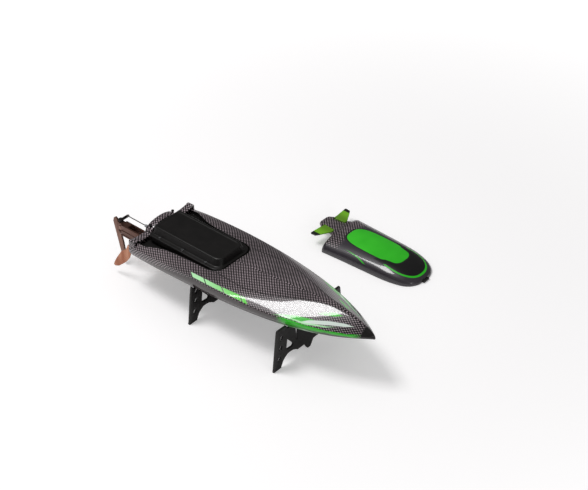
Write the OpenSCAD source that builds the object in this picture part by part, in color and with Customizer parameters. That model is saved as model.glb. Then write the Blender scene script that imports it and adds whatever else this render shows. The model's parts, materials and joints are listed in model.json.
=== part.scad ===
/* [Hull] */
// Length of the boat from the transom to the bow tip
boat_length = 436; // [360:1:540]
// Beam at the widest point
beam = 141; // [116:1:170]
// Height of the keel above the ground while the boat is on its stand
keel_z = 37; // [33:0.5:48]
// Wall thickness of the hull and the deck
skin = 1.6; // [1.2:0.1:2.4]
// Thickness of the transom plate
transom_t = 3; // [2:0.5:5]
// Depth of the raised band across the stern
band_depth = 12; // [9:0.5:14]
// Length of the rubber bow bumper
bumper_length = 18; // [12:1:26]

/* [Hatch] */
// Distance from the transom to the front of the deck opening
opening_front = 166; // [160:1:196]
// Half width of the deck opening beside the hatch
opening_half = 45; // [43:0.5:50]
// Half width of the hatch cover's skirt
cover_half = 39.5; // [38:0.5:41]
// Half width of the flat top of the hatch cover
cover_top_half = 28; // [24:0.5:30]
// Height of the hatch cover above the well floor
cover_rise = 26; // [22:0.5:34]
// Wall thickness of the hatch cover and the well
tray_wall = 1.5; // [1.2:0.1:2]
// Half width of the coaming round the hatch hole
coaming_half = 31; // [29:0.5:31.5]
// Radius of the hatch screw heads
hatch_screw_head_r = 2.3; // [1.8:0.1:2.4]

/* [Canopy] */
// Length of the canopy body
canopy_length = 172; // [140:1:206]
// Width of the canopy body at its rear edge
canopy_width = 99; // [84:1:118]
// Height of the canopy
canopy_height = 23; // [19:0.5:30]
// Wall thickness of the canopy
canopy_wall = 1.5; // [1.2:0.1:2.4]
// Distance of the canopy's centre line from the boat's, where it lies on the ground
canopy_side = 244; // [200:1:300]
// Distance from the transom to the canopy's rear edge, where it lies
canopy_aft = 172; // [120:1:220]
// Span of one winglet beyond the tail
winglet_span = 25; // [16:0.5:30]

/* [Stand] */
// Half width of a stand frame across its feet
stand_half = 80.5; // [76:0.5:96]
// Thickness of a stand frame
stand_t = 3.5; // [2.5:0.5:8]
// Half width of the slots through a stand frame's legs
slot_r = 2.7; // [1.5:0.1:3.2]
// Width of a foot
foot_w = 17; // [12:0.5:20]
// Distance from the transom to the rear stand frame
stand_rear_x = 137; // [110:1:160]
// Distance from the transom to the front stand frame
stand_front_x = 309; // [270:1:330]
// Thickness of the soft pads under the hull
pad_t = 1.5; // [1:0.1:2.5]

/* [Rudder] */
// Distance of the rudder hinge behind the transom
rudder_aft = 50; // [44:0.5:60]
// Distance of the rudder from the centre line
rudder_side = 35; // [32:0.5:40]
// Radius of the rudder pin
rudder_pin_r = 1.5; // [1.2:0.1:2]
// Thickness of the rudder blade
blade_t = 3; // [2:0.25:4]
// Length of the tiller arm and the servo horn
arm_length = 13; // [11:0.5:15]
// Radius of the pushrod wire
wire_r = 0.8; // [0.6:0.05:1]

/* [Drive] */
// Upward slope of the propeller shaft towards the bow
shaft_angle = 10; // [8:0.5:11]
// Radius of the propeller shaft
shaft_r = 2; // [1.6:0.1:2.5]
// Distance of the propeller behind the transom
prop_aft = 38; // [32:1:44]
// Height of the propeller's centre above the ground
prop_z = 24; // [20:0.5:26]
// Radius of the propeller
prop_r = 17; // [13:0.5:19]
// Outer radius of the motor can
motor_r = 11; // [9:0.25:11.5]
// Length of the motor can
motor_length = 46; // [38:1:56]

/* [Equipment] */
// Length of the battery pack
battery_length = 104; // [84:1:112]
// Width of the battery pack
battery_width = 34; // [28:0.5:36]
// Height of the battery pack
battery_height = 24; // [19:0.5:27]
// Radius of the cooling hoses
hose_r = 2; // [1.6:0.1:2.4]

/* [Hidden] */
$fn = 48;

run_fit = 0.05;        // radial clearance of a pin or shaft that turns
slip = 0.02;           // radial clearance of a pin that is clamped
rest_gap = 0.3;        // gap between pieces that only rest on each other
screw_r = 1.2;         // thread radius of the small screws

blade_back = 16.5;     // how far the rudder reaches behind its hinge
canopy_tail_length = 38;
tip_cut = 0.7;         // length lost where the bow tip is blunted
origin_x = (boat_length - tip_cut - rudder_aft - blade_back) / 2;
origin_y = (canopy_side + canopy_width / 2 - stand_half) / 2;

// ---- smooth curves through a few control points ----
function span_of(p, x, i = 0) = (i >= len(p) - 2 || x < p[i + 1][0]) ? i : span_of(p, x, i + 1);
function slope_at(p, i) =
    let (a = max(i - 1, 0), b = min(i + 1, len(p) - 1)) (p[b][1] - p[a][1]) / (p[b][0] - p[a][0]);
function curve(p, x) =
    let (i = span_of(p, x), h = p[i + 1][0] - p[i][0], t = (x - p[i][0]) / h)
    p[i][1] * (2 * t ^ 3 - 3 * t ^ 2 + 1) + slope_at(p, i) * h * (t ^ 3 - 2 * t ^ 2 + t)
    + p[i + 1][1] * (3 * t ^ 2 - 2 * t ^ 3) + slope_at(p, i + 1) * h * (t ^ 3 - t ^ 2);
function mix(a, b, t) = a + (b - a) * t;
function mirrored(half) = concat(half, [for (i = [len(half) - 1:-1:0]) [-half[i][0], half[i][1]]]);
function mirrored_once(half) = concat(half, [for (i = [len(half) - 2:-1:0]) [-half[i][0], half[i][1]]]);

function total(v) = [for (p = v) 1] * v;
function backwards(v) = [for (i = [len(v) - 1:-1:0]) v[i]];
// A closed skin through rings of points, every ring with the same count
module loft(rings) {
    n = len(rings[0]);
    m = len(rings);
    turn = total([for (j = [0:n - 1]) cross(rings[0][j], rings[0][(j + 1) % n])])
        * (total(rings[1]) - total(rings[0]));
    skin_faces = concat(
        [[for (j = [0:n - 1]) j]],
        [for (i = [0:m - 2]) for (j = [0:n - 1]) let (k = (j + 1) % n)
            [i * n + j, (i + 1) * n + k, i * n + k]],
        [for (i = [0:m - 2]) for (j = [0:n - 1]) let (k = (j + 1) % n)
            [i * n + j, (i + 1) * n + j, (i + 1) * n + k]],
        [[for (j = [n - 1:-1:0]) (m - 1) * n + j]]
    );
    polyhedron(
        points = [for (r = rings) for (p = r) p],
        faces = turn > 0 ? skin_faces : [for (f = skin_faces) backwards(f)]
    );
}

// ---- lines of the hull, as height above the keel against the part of the length ----
taper_start = 0.184 * boat_length;
stern_tuck = 2.5;
function half_beam(x) =
    x < taper_start
    ? beam / 2 - stern_tuck * ((taper_start - x) / taper_start) ^ 2
    : beam / 2 * (1 - ((x - taper_start) / (boat_length - taper_start)) ^ 3) ^ 0.9;
keel_curve = [[0, 0], [0.45, 0], [0.69, 5], [0.85, 20], [0.92, 31], [1, 46]];
chine_curve = [[0, 24], [0.3, 28], [0.55, 30.5], [0.7, 32.5], [0.85, 37], [1, 46.6]];
rim_curve = [[0, 39], [0.1, 43], [0.3, 47], [0.7, 46.5], [1, 48.5]];
spine_curve = [[0, 52], [0.38, 55.5], [0.6, 62.5], [0.7, 67.5], [0.79, 71],
    [0.86, 70], [0.92, 65.5], [0.965, 58.5], [1, 50]];
crease_curve = [[0, 44], [0.38, 46], [0.5, 45], [0.6, 37], [0.7, 21], [0.78, 9], [0.86, 4.5], [1, 0.4]];
crease_drop = [[0, 3], [0.38, 3], [0.6, 2.5], [0.75, 1.2], [1, 0.2]];
function keel_h(x) = keel_z + curve(keel_curve, x / boat_length);
function chine_h(x) = keel_z + curve(chine_curve, x / boat_length);
function rim_h(x) = keel_z + curve(rim_curve, x / boat_length);
function spine_h(x) = keel_z + curve(spine_curve, x / boat_length);
function chine_y(x) = half_beam(x) * (0.97 - 0.15 * (x / boat_length) ^ 2);
function crease_y(x) = min(curve(crease_curve, x / boat_length) * beam / 141, half_beam(x) * 0.8);
function crease_h(x) = spine_h(x) - curve(crease_drop, x / boat_length);
rail = 2.5;            // width of the flat spray rail along the chine
rail_drop = 0.8;
side_bulge = 1.4;
side_steps = 4;
bottom_steps = 3;

// Half of the hull's outline at x, from the rim down to the keel, drawn in by t
function hull_half(x, t = 0) =
    let (w = half_beam(x), c = chine_y(x), zr = rim_h(x), zc = chine_h(x), zk = keel_h(x),
         r = min(rail, c / 4))
    concat(
        [for (j = [0:side_steps - 1]) let (f = j / side_steps)
            [mix(w, c, f) + side_bulge * min(1, w / 40) * sin(180 * f) - t, mix(zr, zc, f)]],
        [[c - t, zc + t * 0.3], [c - r - t * 0.3, zc - rail_drop + t]],
        [for (j = [1:bottom_steps]) let (f = j / bottom_steps)
            [mix(c - r, 0, f), mix(zc - rail_drop, zk, f) + t * 1.08]]
    );
// Half of the deck's outline at x, from the rim up to the spine, drawn in by t
deck_edge = 0.8;
panel_steps = 4;
function deck_half(x, t = 0) =
    let (w = half_beam(x), zr = rim_h(x), cy = crease_y(x), cz = crease_h(x), zs = spine_h(x),
         f = 1 - t / w)
    concat(
        [[w - t, zr], [w - t - deck_edge, zr + (t > 0 ? 0.3 : deck_edge * 2)]],
        [for (j = [1:panel_steps]) let (k = j / panel_steps)
            [mix(w - deck_edge, cy, k) * f, mix(zr + deck_edge * 2, cz, k) + 1.2 * sin(180 * k) - t]],
        [[cy * f / 2, mix(zs, cz, 0.3) - t], [0, zs - t]]
    );
function at_x(x, outline) = [for (p = outline) [x, p[0], p[1]]];
// A hull or deck ring: the outer outline and the inner one, joined at the two rims
function shell_ring(x, outer, inner) =
    at_x(x, concat(mirrored_once(outer), [for (i = [len(mirrored_once(inner)) - 1:-1:0])
        mirrored_once(inner)[i]]));
shell_end = boat_length - bumper_length;
function stations(from, to, n) = [for (i = [0:n]) mix(from, to, sin(90 * i / n) * 0.45 + 0.55 * i / n)];

module in_place() {
    translate([-origin_x, -origin_y, 0]) children();
}
// One mesh of a whole group, so that a skin and its openings stay together
module one_mesh() {
    resize([0, 0, 0]) children();
}
module across(x, length) {
    translate([x, 0, 0]) rotate([90, 0, 90]) linear_extrude(length) children();
}
module rod_x(x, y, z, r, length) {
    translate([x, y, z]) rotate([0, 90, 0]) cylinder(r = r, h = length);
}
module rod_y(x, y, z, r, length) {
    translate([x, y, z]) rotate([-90, 0, 0]) cylinder(r = r, h = length);
}

// ---- places that several pieces share ----
well_floor = keel_z + 38;            // underside of the well
floor_top = well_floor + tray_wall;
cover_base = floor_top + 6;          // lower edge of the hatch cover's skirt
ledge_z = cover_base + 8.5;          // top of the ledge that the screws sit on
cover_top = floor_top + cover_rise;
coaming_top = ledge_z - tray_wall - 1.2;
cover_x0 = band_depth + 2;
cover_x1 = opening_front - 3.5;
coaming_x0 = cover_x0 + 4.5;
coaming_x1 = cover_x1 - 9;
hatch_screw_y = coaming_half + 4;
hatch_screw_x = [for (k = [0:2]) mix(cover_x0 + 22, cover_x1 - 30, k / 2)];
boss_r = 2.6;

rudder_x = -rudder_aft;
rudder_y = -rudder_side;
link_y = rudder_y + arm_length;      // line of the pushrod
lug_top = keel_z + 45;               // top of the upper rudder lug
lug_t = 4;
bracket_low = keel_z + 25;
arm_z = lug_top + 2;                 // underside of the tiller arm and the servo horn
arm_t = 1.6;
link_z = arm_z + arm_t + wire_r + 0.5;
horn_x = 40;
horn_y = link_y + arm_length;

// ---- the line of the shaft: s runs forward from the propeller's centre ----
module on_shaft() {
    translate([-prop_aft, 0, prop_z]) rotate([0, 90 - shaft_angle, 0]) children();
}
module shaft_cyl(s, r, length) {
    on_shaft() translate([0, 0, s]) cylinder(r = r, h = length);
}
function shaft_z(s) = prop_z + s * sin(shaft_angle);
function shaft_x(s) = -prop_aft + s * cos(shaft_angle);
strut_s = 14;
strut_length = 20;
tube_s = strut_s + strut_length + 4;
tube_length = 70;
shaft_end = 139;
coupler_s = 129;
coupler_length = 22;
motor_s = 160;
can_wall = 2;
motor_shaft_r = 1.6;
jacket_s = motor_s + 12;
jacket_length = motor_length - 20;
jacket_t = 1.5;

// ================= stand =================
function vee(x, y) = keel_h(x) + (chine_h(x) - rail_drop - keel_h(x)) * y / (chine_y(x) - rail);
module stand_slot(y, z) {
    translate([y, z]) rotate(33) union() {
        square([2 * slot_r, 4.6], center = true);
        for (e = [-1, 1]) translate([0, 2.3 * e]) circle(r = slot_r);
    }
}
module stand_frame(x) {
    aft = x - stand_t / 2;
    drop = pad_t + rest_gap;
    yc = chine_y(aft);
    leg = stand_half - 9;
    top = chine_h(aft) + 4;
    half = [
        [0, 0], [3, 0], [6, 4], [10, 11.7], [26, 11.6], [30, 14.5], [36, 17.5], [43, 18.6],
        [49, 18.2], [54, 15], [58.6, 11], [stand_half - foot_w, 1.5], [stand_half - foot_w, 0],
        [stand_half, 0], [stand_half - 1, 6], [stand_half - 6, 54], [leg + 1, top - 3], [leg, top],
        [max(yc + 4, leg - 6), top], [yc + 4, top - 0.5], [yc + 1.7, top - 3],
        [yc + 1.2, top - 5 - drop],
        [yc - rail, vee(aft, yc - rail) - drop], [yc - rail - 14, vee(aft, yc - rail - 14) - drop],
        [yc - rail - 15, vee(aft, yc - rail - 15) - drop - 5], [29, 32], [27, 33.5],
        [25.5, vee(aft, 25.5) - drop - 4], [24, vee(aft, 24) - drop], [0, vee(aft, 0) - drop]
    ];
    color([0.1, 0.09, 0.09]) in_place() across(x - stand_t / 2, stand_t) difference() {
        polygon(concat(half, [for (i = [len(half) - 2:-1:1]) [-half[i][0], half[i][1]]]));
        for (side = [-1, 1]) scale([side, 1]) {
            polygon([[50, 47], [37, 31.5], [36, 28.5], [38, 26], [50, 27], [52, 29]]);
            stand_slot(leg - 9, 56);
            stand_slot(leg - 7.5, 38.5);
            stand_slot(leg - 4, 19);
        }
    }
}
module stand_front() { stand_frame(stand_front_x); }
module stand_rear() { stand_frame(stand_rear_x); }
module stand_pads() {
    color([0.16, 0.16, 0.17]) in_place()
        for (x = [stand_rear_x, stand_front_x], side = [-1, 1]) {
            aft = x - stand_t / 2;
            far = chine_y(x) - rail - 0.5;
            for (y = [[3, 23], [far - 12, far]])
                across(aft, stand_t) scale([side, 1]) polygon([
                    [y[0], vee(aft, y[0]) - pad_t - rest_gap], [y[1], vee(aft, y[1]) - pad_t - rest_gap],
                    [y[1], vee(aft, y[1]) - rest_gap], [y[0], vee(aft, y[0]) - rest_gap]]);
        }
}

// ================= hull =================
deck_stations = stations(band_depth, shell_end, 26);
hull_stations = concat([transom_t], deck_stations);
module hull() {
    color([0.13, 0.12, 0.12]) in_place() difference() {
        one_mesh() loft([for (x = hull_stations) shell_ring(x, hull_half(x), hull_half(x, skin))]);
        shaft_cyl(tube_s - 2, 3 + slip, tube_length + 2);
    }
}

// The opening in the deck, drawn in by d
function opening_outline(d) =
    let (r = 22, xf = opening_front - d, yf = opening_half - 2 - d, n = 8)
    concat(
        [[band_depth + d, opening_half + 14 - d], [28, opening_half + 14 - d],
         [45, opening_half + 7.5 - d], [62, opening_half + 2 - d], [92, opening_half - 0.5 - d]],
        [for (k = [0:n]) [xf - r + r * sin(90 * k / n), yf - r + r * cos(90 * k / n)]]
    );
module opening_shape(d) {
    half = opening_outline(d);
    polygon(concat(half, [for (i = [len(half) - 1:-1:0]) [half[i][0], -half[i][1]]]));
}
module deck() {
    color([0.14, 0.13, 0.13]) in_place() one_mesh() difference() {
        union() {
            loft([for (x = deck_stations) shell_ring(x, deck_half(x), deck_half(x, skin))]);
            intersection() {
                loft([for (x = deck_stations) at_x(x, concat(
                    mirrored_once(deck_half(x, 0.1)),
                    [[-half_beam(x) + 4, well_floor], [half_beam(x) - 4, well_floor]]))]);
                translate([0, 0, well_floor]) linear_extrude(60) difference() {
                    opening_shape(-tray_wall);
                    translate([-1, 0]) square([2 * (band_depth + 1.01), beam], center = true);
                }
            }
        }
        translate([0, 0, well_floor - 1]) linear_extrude(80) opening_shape(0);
    }
}

arch_half = 31;
arch_foot = keel_z + 48.5;
arch_rise = 13;
function stern_top() = concat(
    [[half_beam(0) - 0.6, keel_z + 50.5], [half_beam(0) - 4, keel_z + 51.5], [58, keel_z + 49],
     [44, keel_z + 47.5], [35, keel_z + 47.5]],
    [for (k = [0:8]) [arch_half * cos(90 * k / 8), arch_foot + arch_rise * sin(90 * k / 8)]]);
function transom_outline(d) =
    let (low = [for (p = hull_half(0, d)) p], high = stern_top(), n = len(low))
    concat([for (i = [n - 1:-1:0]) low[i]], [for (p = high) [p[0] - d * sign(p[0]), p[1] - d]]);
module transom_shape(d) {
    half = transom_outline(d);
    polygon(concat(half, [for (i = [len(half) - 2:-1:1]) [-half[i][0], half[i][1]]]));
}
inlet_y = -22;
inlet_z = keel_z + 15;
outlet_y = 42;
outlet_z = keel_z + 30;
nipple_r = 1.8;
bracket_screw_z = [bracket_low + 4, bracket_low + 11];
bracket_flange = 5;    // reach of the bracket's flange beyond its arms
arm_gap = 4.5;         // half of the space between the bracket's two arms
arm_plate = 2;
fin_y = 61;
fin_screw_z = [keel_z + 24, keel_z + 31];
module transom() {
    color([0.15, 0.14, 0.14]) in_place() difference() {
        union() {
            across(0, transom_t) transom_shape(0);
            intersection() {
                across(transom_t, band_depth - transom_t) difference() {
                    transom_shape(0);
                    transom_shape(2.2);
                }
                translate([0, -beam, rim_h(band_depth)]) cube([band_depth, 2 * beam, 60]);
            }
        }
        rod_x(-1, link_y, link_z, wire_r + 0.6, transom_t + 2);
        rod_x(-1, inlet_y, inlet_z, nipple_r + slip, transom_t + 2);
        rod_x(-1, outlet_y, outlet_z, nipple_r + slip, transom_t + 2);
        for (z = bracket_screw_z, side = [-1, 1])
            rod_x(-1, rudder_y + side * (arm_gap + arm_plate + bracket_flange / 2), z,
                screw_r + slip, transom_t + 2);
        for (z = fin_screw_z, side = [-1, 1])
            rod_x(-1, side * (fin_y - 5), z, screw_r + slip, transom_t + 2);
    }
}
module bow_bumper() {
    color([0.07, 0.07, 0.07]) in_place() loft([
        for (k = [0:8]) let (x = shell_end + (bumper_length - tip_cut) * sin(90 * k / 8))
            at_x(x, concat(mirrored_once(hull_half(x)), [for (i = [1:2 * len(deck_half(x)) - 3])
                let (d = mirrored_once(deck_half(x))) [-d[i][0], d[i][1]]]))
    ]);
}

// ================= hatch =================
function rounded(x0, x1, h, r, n = 6) = concat(
    [for (k = [0:n]) [x1 - r + r * sin(90 * k / n), h - r + r * cos(90 * k / n)]],
    [for (k = [0:n]) [x1 - r + r * cos(90 * k / n), -h + r - r * sin(90 * k / n)]],
    [for (k = [0:n]) [x0 + r / 2 - r / 2 * sin(90 * k / n), -h + r / 2 - r / 2 * cos(90 * k / n)]],
    [for (k = [0:n]) [x0 + r / 2 - r / 2 * cos(90 * k / n), h - r / 2 + r / 2 * sin(90 * k / n)]]);
module plate(z, t, x0, x1, h, r) {
    translate([0, 0, z]) linear_extrude(t) polygon(rounded(x0, x1, h, r));
}
module hatch_bosses(z, length, r) {
    for (x = hatch_screw_x, side = [-1, 1])
        translate([x, side * hatch_screw_y, z]) cylinder(r = r, h = length);
}
module hatch_well() {
    color([0.09, 0.09, 0.09]) in_place() difference() {
        union() {
            translate([0, 0, well_floor]) linear_extrude(tray_wall) opening_shape(0);
            plate(floor_top, coaming_top - floor_top, coaming_x0, coaming_x1, coaming_half, 8);
            hatch_bosses(floor_top, ledge_z - tray_wall - rest_gap - floor_top, boss_r);
        }
        plate(well_floor - 1, 40, coaming_x0 + tray_wall, coaming_x1 - tray_wall,
            coaming_half - tray_wall, 7);
        hatch_bosses(floor_top + 2, 30, screw_r + run_fit);
        translate([coaming_x0 - 1, link_y - wire_r - 0.6, link_z - wire_r - 0.6])
            cube([4, 2 * (wire_r + 0.6), 20]);
    }
}
module hatch_seal() {
    color([0.05, 0.05, 0.05]) in_place() difference() {
        plate(coaming_top, 0.9, coaming_x0, coaming_x1, coaming_half, 8);
        plate(coaming_top - 1, 4, coaming_x0 + tray_wall, coaming_x1 - tray_wall,
            coaming_half - tray_wall, 7);
    }
}
body_half = coaming_half + 1.2;
function at_z(z, outline) = [for (p = outline) [p[0], p[1], z]];
module cover_body(d) {
    one_mesh() loft([
        at_z(ledge_z - 0.1, rounded(cover_x0 + 2 + d, cover_x1 - 4 - d, body_half - d, 12)),
        at_z(cover_top - 2 - d, rounded(cover_x0 + 3 + d, cover_x1 - 6 - d, cover_top_half + 1 - d, 12)),
        at_z(cover_top - 0.5 - d, rounded(cover_x0 + 3.6 + d, cover_x1 - 6.6 - d, cover_top_half - d, 12)),
        at_z(cover_top - d, rounded(cover_x0 + 5 + d, cover_x1 - 8 - d, cover_top_half - 1.5 - d, 11))
    ]);
}
module hatch_cover() {
    color([0.11, 0.1, 0.1]) in_place() difference() {
        union() {
            plate(cover_base, ledge_z - cover_base, cover_x0, cover_x1, cover_half, 16);
            cover_body(0);
        }
        plate(cover_base - 1, ledge_z - tray_wall - cover_base + 1, cover_x0 + tray_wall,
            cover_x1 - tray_wall, cover_half - tray_wall, 14.5);
        cover_body(tray_wall);
        plate(ledge_z - tray_wall - 1, tray_wall + 1.01, cover_x0 + 4, cover_x1 - 6,
            body_half - tray_wall, 10);
        hatch_bosses(ledge_z - 5, 10, screw_r + slip);
        translate([cover_x0 - 1, link_y - 3, cover_base - 1]) cube([5, 6, link_z + 3 - cover_base]);
    }
}
module hatch_screws() {
    color([0.75, 0.75, 0.76]) in_place() {
        hatch_bosses(ledge_z - tray_wall - 6, tray_wall + 6.01, screw_r);
        difference() {
            hatch_bosses(ledge_z, 1.8, hatch_screw_head_r);
            for (x = hatch_screw_x, side = [-1, 1])
                translate([x, side * hatch_screw_y, ledge_z + 1]) cylinder(r = 1.1, h = 2, $fn = 6);
        }
    }
}
post_y = 25;
module canopy_posts() {
    z = arch_foot + arch_rise * sqrt(1 - (post_y / arch_half) ^ 2) - 2.2;
    color([0.1, 0.1, 0.1]) in_place() for (side = [-1, 1])
        difference() {
            translate([band_depth / 2, side * post_y, z]) union() {
                cylinder(r = 1.7, h = 6.5);
                translate([0, 0, 5.2]) cylinder(r = 2.4, h = 1.3);
            }
            across(0, band_depth + 1) transom_shape(0);
        }
}

// ================= stern gear =================
bracket_arm_end = rudder_aft - 6;
module rudder_bracket() {
    top = lug_top;
    color([0.5, 0.42, 0.38]) in_place() difference() {
        union() {
            translate([-3, rudder_y - arm_gap - arm_plate - bracket_flange, bracket_low])
                cube([3, 2 * (arm_gap + arm_plate + bracket_flange), 15]);
            for (side = [-1, 1]) {
                translate([-bracket_arm_end, rudder_y + side * (arm_gap + arm_plate / 2) - arm_plate / 2,
                    bracket_low]) cube([bracket_arm_end - 3, arm_plate, top - bracket_low]);
                for (z = [bracket_low, bracket_low + 8, top - 2])
                    translate([-bracket_arm_end, rudder_y + side * (arm_gap + arm_plate) - 0.6, z])
                        cube([bracket_arm_end - 3, 1.2, 2]);
            }
            for (z = [bracket_low, top - lug_t]) {
                translate([rudder_x, rudder_y, z]) cylinder(r = 4.5, h = lug_t);
                translate([rudder_x, rudder_y - 4.5, z]) cube([rudder_aft - 3 - 28, 9, lug_t]);
            }
        }
        translate([rudder_x, rudder_y, bracket_low - 1]) cylinder(r = rudder_pin_r + run_fit, h = 60);
        for (z = bracket_screw_z, side = [-1, 1])
            rod_x(-5, rudder_y + side * (arm_gap + arm_plate + bracket_flange / 2), z,
                screw_r + slip, 8);
    }
}
module face_screws(places, aft) {
    for (p = places) {
        rod_x(-aft, p[0], p[1], screw_r, aft + transom_t + 2);
        difference() {
            rod_x(-aft - 1.6, p[0], p[1], 2.1, 1.6);
            translate([-aft - 2, p[0], p[1]]) rotate([0, 90, 0]) cylinder(r = 1, h = 1.2, $fn = 6);
        }
    }
}
module bracket_screws() {
    color([0.7, 0.7, 0.7]) in_place() face_screws([for (z = bracket_screw_z, side = [-1, 1])
        [rudder_y + side * (arm_gap + arm_plate + bracket_flange / 2), z]], 3);
}
lug_clear = 0.4;
module rudder_blade() {
    z0 = bracket_low + lug_t + lug_clear;
    z1 = lug_top - lug_t - lug_clear;
    back = rudder_x - blade_back;
    strip = [
        [back + 22.5, 8], [back + 16, 10], [back + 12, keel_z - 8.5], [back, keel_z + 40],
        [back + 1.5, keel_z + 46.5], [back + 5, keel_z + 49.5], [back + 9.5, keel_z + 47],
        [back + 11.2, keel_z + 38], [back + 19.5, keel_z + 6], [back + 25, 11]
    ];
    color([0.6, 0.52, 0.48]) in_place() difference() {
        union() {
            translate([0, rudder_y + blade_t / 2, 0]) rotate([90, 0, 0]) linear_extrude(blade_t)
                union() {
                    polygon(strip);
                    translate([back + 4, z0]) square([blade_back - 4, z1 - z0]);
                }
            translate([rudder_x, rudder_y, z0]) cylinder(r = 3.4, h = z1 - z0);
        }
        for (z = [bracket_low, lug_top - lug_t])
            translate([rudder_x, rudder_y, z - 3]) cylinder(r = 5.1, h = lug_t + 3 + lug_clear);
        translate([rudder_x, rudder_y, lug_top - 1]) cylinder(r = 5.1, h = 20);
        translate([rudder_x, rudder_y, z0 - 1]) cylinder(r = rudder_pin_r + slip, h = z1 - z0 + 2);
    }
}
module rudder_pin() {
    color([0.75, 0.75, 0.76]) in_place() translate([rudder_x, rudder_y, bracket_low - 2.4]) union() {
        cylinder(r = 2.6, h = 2);
        cylinder(r = rudder_pin_r, h = arm_z + 4 - bracket_low + 2.4);
    }
}
// An arm with a hub at the origin and a slot for the pushrod's end, pointing along +Y
module lever(hub_r, bore_r) {
    reach = arm_length * 1.16;
    difference() {
        union() {
            cylinder(r = hub_r, h = arm_t + 1.6);
            translate([-2.6, 0, 0]) cube([5.2, reach, arm_t]);
            translate([0, reach, 0]) cylinder(r = 2.6, h = arm_t);
        }
        translate([0, 0, -1]) cylinder(r = bore_r, h = 10);
        translate([-wire_r - 0.45, arm_length - 0.2, -1]) cube([2 * wire_r + 0.9, reach - arm_length, 5]);
        for (y = [arm_length - 0.2, reach - 0.2])
            translate([0, y, -1]) cylinder(r = wire_r + 0.45, h = 5);
    }
}
module tiller_arm() {
    color([0.35, 0.33, 0.32]) in_place()
        translate([rudder_x, rudder_y, arm_z]) lever(4, rudder_pin_r + slip);
}
module servo_horn() {
    color([0.9, 0.9, 0.9]) in_place()
        translate([horn_x, horn_y, arm_z]) rotate(180) lever(3.2, 2 + slip);
}
module pushrod() {
    color([0.6, 0.6, 0.62]) in_place() union() {
        rod_x(rudder_x, link_y, link_z, wire_r, horn_x - rudder_x);
        for (x = [rudder_x, horn_x]) {
            translate([x, link_y, arm_z - 1.2]) cylinder(r = wire_r, h = link_z - arm_z + 1.2);
            translate([x, link_y, link_z]) sphere(r = wire_r, $fn = 24);
        }
    }
}
module pushrod_boot() {
    color([0.35, 0.35, 0.36]) in_place() translate([-0.01, link_y, link_z]) rotate([0, -90, 0])
        difference() {
            union() {
                for (k = [0:3]) translate([0, 0, k * 2]) cylinder(r = 3.4 - k * 0.35, h = 1.2);
                cylinder(r = 2.2, h = 8.4);
            }
            translate([0, 0, -1]) cylinder(r = wire_r + 0.1, h = 12);
        }
}
module turn_fin(side) {
    color([0.66, 0.55, 0.48]) in_place() difference() {
        union() {
            translate([0, side * fin_y + 0.75, keel_z]) rotate([90, 0, 0]) linear_extrude(1.5) polygon([
                [-1.5, 34], [-9, 34], [-14, 23], [-25, 14], [-36, -3], [-43, -16], [-44.5, -21],
                [-43.5, -22.4], [-41, -22.5], [-33, -19], [-22, -9], [-15, -2], [-7, 9], [-3.5, 19], [-1.5, 21]]);
            translate([-1.5, side > 0 ? fin_y - 9 : -fin_y - 0.75, keel_z + 20.5])
                cube([1.5, 9.75, 14]);
        }
        for (z = fin_screw_z) rod_x(-5, side * (fin_y - 5), z, screw_r + slip, 8);
    }
}
module turn_fin_starboard() { turn_fin(-1); }
module turn_fin_port() { turn_fin(1); }
module fin_screws() {
    color([0.7, 0.7, 0.7]) in_place()
        face_screws([for (z = fin_screw_z, side = [-1, 1]) [side * (fin_y - 5), z]], 1.5);
}

// ================= drive =================
strut_r = 5;
bushing_r = 3.2;
module prop_strut() {
    zs = shaft_z(strut_s + strut_length / 2);
    color([0.6, 0.6, 0.62]) in_place() difference() {
        union() {
            shaft_cyl(strut_s, strut_r, strut_length);
            translate([0, 1.5, 0]) rotate([90, 0, 0]) linear_extrude(3) polygon([
                [shaft_x(strut_s) + 1, zs - 1], [shaft_x(strut_s + strut_length) - 1, zs + 1],
                [0, keel_z + 3], [0, keel_z + 24], [-3, keel_z + 24], [-16, keel_z + 2]]);
            translate([-3, -8, keel_z + 5]) cube([3, 16, 20]);
        }
        shaft_cyl(strut_s - 1, bushing_r, strut_length + 2);
    }
}
module strut_bushing() {
    color([0.72, 0.53, 0.3]) in_place() difference() {
        shaft_cyl(strut_s, bushing_r, strut_length);
        shaft_cyl(strut_s - 1, shaft_r + run_fit, strut_length + 2);
    }
}
module stuffing_tube() {
    color([0.75, 0.65, 0.4]) in_place() difference() {
        shaft_cyl(tube_s, 3, tube_length);
        shaft_cyl(tube_s - 1, shaft_r + run_fit, tube_length + 2);
    }
}
module prop_shaft() {
    color([0.72, 0.72, 0.73]) in_place() shaft_cyl(-12, shaft_r, shaft_end + 12);
}
hub_r = 4;
hub_half = 5;
module propeller() {
    color([0.78, 0.5, 0.32]) in_place() on_shaft() difference() {
        union() {
            translate([0, 0, -hub_half]) cylinder(r = hub_r, h = 2 * hub_half);
            for (a = [60, 240]) rotate([0, 0, a]) translate([hub_r - 1, 0, 0]) rotate([36, 0, 0])
                translate([0, 0, -0.6]) linear_extrude(1.2)
                    polygon(concat([[0, -2.4], [0, 2.4]], [for (k = [0:12])
                        [3 + (prop_r - hub_r - 2) * sin(15 * k), 6.4 * cos(15 * k)]]));
        }
        translate([0, 0, -20]) cylinder(r = shaft_r + slip, h = 40);
    }
}
module prop_nut() {
    color([0.75, 0.75, 0.76]) in_place() on_shaft() translate([0, 0, -hub_half - 5]) difference() {
        union() {
            cylinder(r = 3.6, h = 4, $fn = 6);
            translate([0, 0, 4]) cylinder(r = 3.8, h = 1);
        }
        translate([0, 0, -1]) cylinder(r = shaft_r + slip, h = 10);
    }
}
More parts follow.
